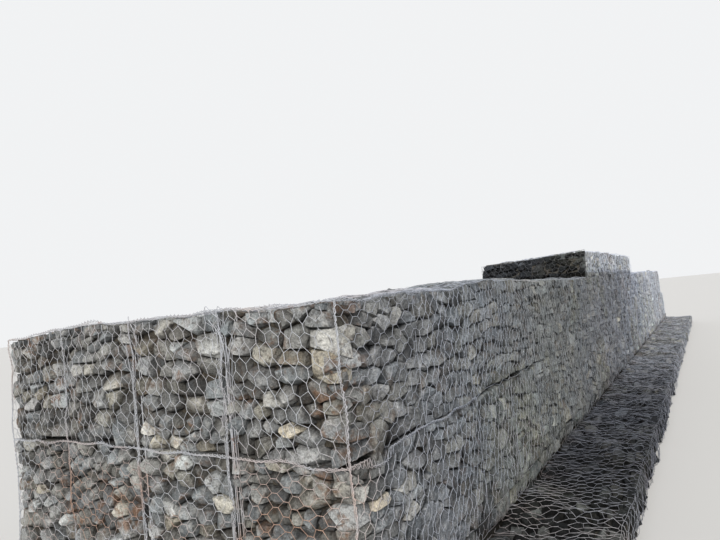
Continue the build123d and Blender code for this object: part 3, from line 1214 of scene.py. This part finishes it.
# %% [markdown]
# ## Masks and coats
#
# Both finishes are a base colour with coats over it, each coat showing where its masks are high. A
# mask is a step from one place to another, or soft-edged patches. Two effects that stones and wires
# share are node groups, made once and placed in both materials: the patches, and the painted light
# and shade. The wall isn't one grey: the stretch beyond the corner lies in shade, and the crest and
# the far end lie in sun, and this light and shade is painted into the colour. It comes from two
# ramps, one for the faces and one for the mattress, whose stops are metres from the corner.

# %% Write the helpers for coats and masks
def add_mix(tree, factor, first, second, blend="MIX"):
    values = {0: factor, 6: first, 7: second}
    return add_node(tree, "Mix", values, data_type="RGBA", blend_type=blend).outputs[2]


def add_coat(tree, colour, coat, *masks):
    """The colour with another laid over it, where all of these masks are high."""
    factor = masks[0]
    for mask in masks[1:]:
        factor = add_math(tree, "MULTIPLY", factor, mask)
    return add_mix(tree, factor, colour, (*coat, 1))


def add_step(tree, value, start, end, low=0.0, high=1.0):
    """A value that goes from low to high between these two places."""
    return add_node(tree, "MapRange", {
        "Value": value, "From Min": start, "From Max": end, "To Min": low, "To Max": high,
    }).outputs["Result"]


def add_ramp(tree, factor, stops, span=1.0):
    """A colour for a factor, from stops whose places are given along this span."""
    node = add_node(tree, "ValToRGB", {"Fac": factor})
    ramp = node.color_ramp
    ramp.elements.remove(ramp.elements[1])
    for number, (place, shade) in enumerate(stops):
        stop = ramp.elements.new(place / span) if number else ramp.elements[0]
        stop.color = (*shade, 1)
    return node.outputs["Color"]


def new_group(name, inputs, output, kind):
    """A node group with these inputs, a name and a default each, and one output."""
    group = bpy.data.node_groups.new(name, "ShaderNodeTree")
    for title, default in inputs.items():
        size = np.size(default)
        socket_type = {1: "NodeSocketFloat", 3: "NodeSocketVector", 4: "NodeSocketColor"}[size]
        socket = group.interface.new_socket(title, in_out="INPUT", socket_type=socket_type)
        socket.default_value = default
    group.interface.new_socket(output, in_out="OUTPUT", socket_type=kind)
    return group, group.nodes.new("NodeGroupInput").outputs


def end_group(group, result):
    group.links.new(result, group.nodes.new("NodeGroupOutput").inputs[0])


print("coats, steps and ramps can be added")

# %% Make the patches, a mask with soft edges
patches, given = new_group("patches", {
    "Scale": 5.0, "Amount": 0.5, "Softness": 0.1, "Place": (0.0, 0.0, 0.0),
}, "Mask", "NodeSocketFloat")
noise = add_node(patches, "TexNoise", {
    "Vector": given["Place"], "Scale": given["Scale"], "Detail": 5.0, "Roughness": 0.6,
})
low = add_math(patches, "SUBTRACT", 1.0, given["Amount"])
high = add_math(patches, "ADD", low, given["Softness"])
end_group(patches, add_node(patches, "MapRange", {
    "Value": noise.outputs["Fac"], "From Min": low, "From Max": high,
}, interpolation_type="SMOOTHSTEP").outputs["Result"])


def add_patches(tree, place, scale, amount, softness):
    values = {"Place": place, "Scale": scale, "Amount": amount, "Softness": softness}
    return add_node(tree, "Group", values, node_tree=patches).outputs["Mask"]


print("inputs of the patches", [socket.name for socket in given if socket.name])

# %% Make the painted light and shade along the wall
WALL_LIGHT_AND_SHADE = (
    (0.0, (1.14, 1.13, 1.12)), (0.3, (0.98, 0.98, 1.01)), (1.5, (0.93, 0.96, 1.03)),
    (2.8, (0.76, 0.79, 0.84)), (4.7, (0.74, 0.76, 0.75)), (7.0, (0.66, 0.68, 0.71)),
    (9.0, (0.73, 0.74, 0.79)), (11.4, (0.73, 0.76, 0.83)), (15.4, (1.11, 1.17, 1.33)),
    (20.0, (1.49, 1.54, 1.67)), (26.0, (1.50, 1.55, 1.65)),
)
MATTRESS_LIGHT_AND_SHADE = (
    (0.0, (0.95, 0.96, 1.00)), (2.5, (0.90, 0.92, 0.97)), (4.0, (0.47, 0.49, 0.56)),
    (6.4, (0.51, 0.54, 0.63)), (9.0, (0.74, 0.77, 0.87)), (12.0, (1.17, 1.22, 1.34)),
    (26.0, (1.34, 1.39, 1.48)),
)
CREST_AHEAD = 12.0  # the crest is painted as lit as the wall is this much further along
NEARLY_SHARP = 0.02

weathering, given = new_group(
    "weathering", {"Colour": (1.0, 1.0, 1.0, 1.0), "Place": (0.0, 0.0, 0.0)},
    "Colour", "NodeSocketColor",
)
x, y, z = add_node(weathering, "SeparateXYZ", {"Vector": given["Place"]}).outputs
above = LEVELS[CREST] + NEARLY_SHARP
ahead = add_step(weathering, z, above, above + 0.10, 0.0, CREST_AHEAD)
along = add_math(weathering, "ADD", x, ahead)
along = add_step(weathering, along, corner.x, corner.x + face_bays)
wall_shade = add_ramp(weathering, along, WALL_LIGHT_AND_SHADE, face_bays)
mattress_shade = add_ramp(weathering, along, MATTRESS_LIGHT_AND_SHADE, face_bays)
low_down = add_step(weathering, z, MATTRESS_HEIGHT + 0.08, MATTRESS_HEIGHT + NEARLY_SHARP)
in_front = add_step(weathering, y, corner.y + NEARLY_SHARP, corner.y - NEARLY_SHARP)
on_mattress = add_math(weathering, "MULTIPLY", low_down, in_front)
shade = add_mix(weathering, on_mattress, wall_shade, mattress_shade)
end_group(weathering, add_mix(weathering, 1.0, given["Colour"], shade, "MULTIPLY"))


def add_painted_light_and_shade(tree, place, colour):
    values = {"Place": place, "Colour": colour}
    return add_node(tree, "Group", values, node_tree=weathering).outputs["Colour"]


print("stops", len(WALL_LIGHT_AND_SHADE), "on the wall and", len(MATTRESS_LIGHT_AND_SHADE), "on the mattress")

# %% [markdown]
# ## Stone finish
#
# The rock is grey, some of it greenish or rusty, with a paler dusty skin on its faces. One flat
# grey would make the wall look like plastic. The colour is mixed from each stone's own numbers,
# stains that follow the stone, a rust wash and an olive tinge that cross from stone to stone,
# painted shade in the gaps and on the end of the crest, damp and painted shade in the mattress,
# and the light and shade painted along the wall. Along the near part of the long face the tones lie
# closer together, as no stone stands out there. A fine grain speckles it all, and a coarser one
# with chipped facets drives a bump.

# %% Mix the stone
STONE_TONES = (
    (0.0, (0.108, 0.112, 0.115)), (0.35, (0.188, 0.197, 0.202)), (0.75, (0.266, 0.277, 0.281)),
    (0.93, (0.395, 0.400, 0.395)), (1.0, (0.560, 0.565, 0.545)),
)
STONE_WARMTHS = (
    (0.0, (0.94, 1.00, 1.03)), (0.45, (1.0, 1.0, 1.0)), (0.90, (1.06, 1.02, 0.92)),
    (0.985, (1.18, 1.09, 0.90)), (1.0, (1.27, 1.13, 0.91)),
)
EVENNESS = ((0.0, 0.0), (0.15, 0.0), (1.0, 0.35), (8.0, 0.35), (12.0, 0.0))
GRAIN_SHIFT = (9.0, 9.0, 9.0)
EVEN_GREY = (0.225, 0.236, 0.243)
GRAIN_COATS = {  # a colour, the scale, amount and softness of its patches, and its share
    "stain": ((0.17, 0.115, 0.075), (6.0, 0.44, 0.16), 0.55),
    "dust": ((0.42, 0.42, 0.405), (14.0, 0.55, 0.25), 0.60),
    "dirt": ((0.055, 0.052, 0.048), (24.0, 0.47, 0.12), 0.6),
}
RUST_WASH, RUST_WASH_SHARE = (0.170, 0.095, 0.055), 0.75
WASH_PATCHES, WASH_GRAIN = (1.7, 0.51, 0.10), (10.0, 0.52, 0.15)
OLIVE, OLIVE_PATCHES = (1.00, 1.00, 0.86, 1), (0.45, 0.52, 0.14)
GAP_PAINTED_SHADE, GAP_SHADE_SHARE = (0.020, 0.017, 0.014), 0.93
SOAKED_AND_SHADED = (0.026, 0.027, 0.031, 1)

tree = nodes_of(stone_paint)
place = add_node(tree, "TexCoord").outputs["Object"]
x, _, _ = add_node(tree, "SeparateXYZ", {"Vector": place}).outputs
own = add_node(tree, "Attribute", attribute_name="tint")
wet_and_shaded = add_node(tree, "Attribute", attribute_name="damp")
lightness, warmth, _ = add_node(tree, "SeparateColor", {"Color": own.outputs["Color"]}).outputs
grain_place = add_node(
    tree, "VectorMath", {0: own.outputs["Color"], 1: GRAIN_SHIFT, 2: place},
    operation="MULTIPLY_ADD",
).outputs[0]

tones = add_ramp(tree, lightness, STONE_TONES)
colour = add_mix(tree, 1.0, tones, add_ramp(tree, warmth, STONE_WARMTHS), "MULTIPLY")
along = add_step(tree, x, corner.x, corner.x + face_bays)
even = add_ramp(tree, along, [(at, (share,) * 3) for at, share in EVENNESS], face_bays)
colour = add_coat(tree, colour, EVEN_GREY, even)
for coat, patch, share in GRAIN_COATS.values():
    colour = add_coat(tree, colour, coat, add_patches(tree, grain_place, *patch), share)
washed = add_patches(tree, place, *WASH_PATCHES)
washed_fine = add_patches(tree, grain_place, *WASH_GRAIN)
on_return = add_step(tree, x, corner.x + 0.08, corner.x + 0.40, 1.0, 0.35)
colour = add_coat(tree, colour, RUST_WASH, washed, washed_fine, RUST_WASH_SHARE, on_return)
off_corner = add_step(tree, x, corner.x + 1.2, corner.x + 3.2)
mossy = add_math(tree, "MULTIPLY", add_patches(tree, place, *OLIVE_PATCHES), off_corner)
colour = add_mix(tree, mossy, colour, add_mix(tree, 1.0, colour, OLIVE, "MULTIPLY"))
# Painted shade, darkest deep in the gaps between the stones.
colour = add_coat(tree, colour, GAP_PAINTED_SHADE, own.outputs["Alpha"], GAP_SHADE_SHARE)
# Damp with painted shade in the mattress, and painted shade on the end of the crest.
darker = add_mix(tree, 1.0, colour, SOAKED_AND_SHADED, "MULTIPLY")
colour = add_mix(tree, wet_and_shaded.outputs["Fac"], colour, darker)
# The light and shade along the wall, painted into the colour.
colour = add_painted_light_and_shade(tree, place, colour)
grain = add_node(tree, "TexNoise", {"Vector": grain_place, "Scale": 90.0, "Detail": 4.0})
speck = add_step(tree, grain.outputs["Fac"], 0.3, 0.7, 0.66, 1.34)
colour = add_mix(tree, 1.0, colour, speck, "MULTIPLY")

relief = add_node(tree, "TexNoise", {
    "Vector": grain_place, "Scale": 20.0, "Detail": 6.0, "Roughness": 0.70,
}).outputs["Fac"]
chips = add_node(tree, "TexVoronoi", {"Vector": grain_place, "Scale": 26.0})
chip_height = add_math(tree, "MULTIPLY", chips.outputs["Distance"], 0.45)
bump = add_node(tree, "Bump", {
    "Height": add_math(tree, "ADD", relief, chip_height), "Strength": 1.0, "Distance": 0.035,
})
add_surface(tree, {
    "Base Color": colour, "Roughness": add_step(tree, relief, 0.0, 1.0, 0.72, 0.96),
    "Specular IOR Level": 0.08, "Normal": bump.outputs["Normal"],
})
print("stone nodes", len(tree.nodes))

# %% [markdown]
# ## Wire finish
#
# Zinc-coated wire dulls to a pale chalky grey, with a pinkish dust in the splash zone and rust
# where the coat has worn through. A shiny metal would flash and look new, so it is rough and only
# partly metallic, and the colour changes in patches along the wall. It is dirtier low down, brown
# where the mattress meets the wall, and rust-stained at the foot of the return. It takes the same
# painted light and shade along the wall as the stones, and the end of the crest is painted in
# shade.

# %% Mix the wire
CHALK, PINK_GREY = (0.43, 0.45, 0.485, 1), (0.54, 0.50, 0.485, 1)
WORN, WORN_SHARE = (0.33, 0.315, 0.31), 0.5
RUST = (0.24, 0.105, 0.05)
SPLASHED_DULL, SPLASHED_BROWN = (0.17, 0.155, 0.145), (0.150, 0.075, 0.040)
RUST_STAIN = (0.400, 0.215, 0.120)
CREST_END_WIRE_SHADE = (0.047, 0.046, 0.045)
# The scale, amount and softness of the patches that each coat shows in.
PINK_PATCHES, WORN_PATCHES = (0.9, 0.50, 0.2), (40.0, 0.50, 0.2)
RUST_PATCHES, RUST_GRAIN = (3.0, 0.36, 0.08), (60.0, 0.55, 0.15)
SPLASH_PATCHES, STAIN_PATCHES = (2.2, 0.52, 0.12), (1.6, 0.53, 0.12)
# The two heights, or distances, that a mask changes between, and its value at each.
LOW_DOWN, AT_FOOT = (0.34, 0.70, 0.42, 0.0), (1.15, 1.60, 0.75, 0.10)
AT_CREST_END = (0.05, 0.12, 0.85, 0.0)

tree = nodes_of(wire_paint)
place = add_node(tree, "TexCoord").outputs["Object"]
x, y, z = add_node(tree, "SeparateXYZ", {"Vector": place}).outputs
colour = add_mix(tree, add_patches(tree, place, *PINK_PATCHES), CHALK, PINK_GREY)
worn = add_patches(tree, place, *WORN_PATCHES)
colour = add_coat(tree, colour, WORN, worn, WORN_SHARE)
rusty = add_patches(tree, place, *RUST_PATCHES)
colour = add_coat(tree, colour, RUST, rusty, add_patches(tree, place, *RUST_GRAIN))
low_down = add_step(tree, z, *LOW_DOWN)
colour = add_coat(tree, colour, SPLASHED_DULL, low_down)
beside_wall = add_step(tree, y, corner.y - 0.35, corner.y - 0.05)
splashed = add_patches(tree, place, *SPLASH_PATCHES)
colour = add_coat(tree, colour, SPLASHED_BROWN, beside_wall, low_down, splashed)
at_foot = add_step(tree, z, *AT_FOOT)
on_return = add_step(tree, x, corner.x + 0.10, corner.x + 0.30, 1.0, 0.0)
stained = add_patches(tree, place, *STAIN_PATCHES)
colour = add_coat(tree, colour, RUST_STAIN, at_foot, on_return, stained)
# The light and shade along the wall, painted into the colour.
colour = add_painted_light_and_shade(tree, place, colour)
# The wires on the end of the crest are painted in shade.
high_up = add_step(tree, z, LEVELS[CREST] - 0.01, LEVELS[CREST] + 0.01)
from_end = add_math(tree, "SUBTRACT", x, corner.x + CREST_START)
at_end = add_step(tree, add_math(tree, "ABSOLUTE", from_end), *AT_CREST_END)
colour = add_coat(tree, colour, CREST_END_WIRE_SHADE, high_up, at_end)
add_surface(tree, {
    "Base Color": colour, "Metallic": 0.25,
    "Roughness": add_step(tree, worn, 0.0, 1.0, 0.50, 0.85),
})
print("wire nodes", len(tree.nodes))

# %% [markdown]
# ## Finish
#
# The profile was only a tool, so it goes, and the triangles of all pieces are counted.

# %% Remove the profile and count the triangles
bpy.data.objects.remove(wire_profile)
print("triangles", stone_total + mesh_total + lacing_total + edge_total)
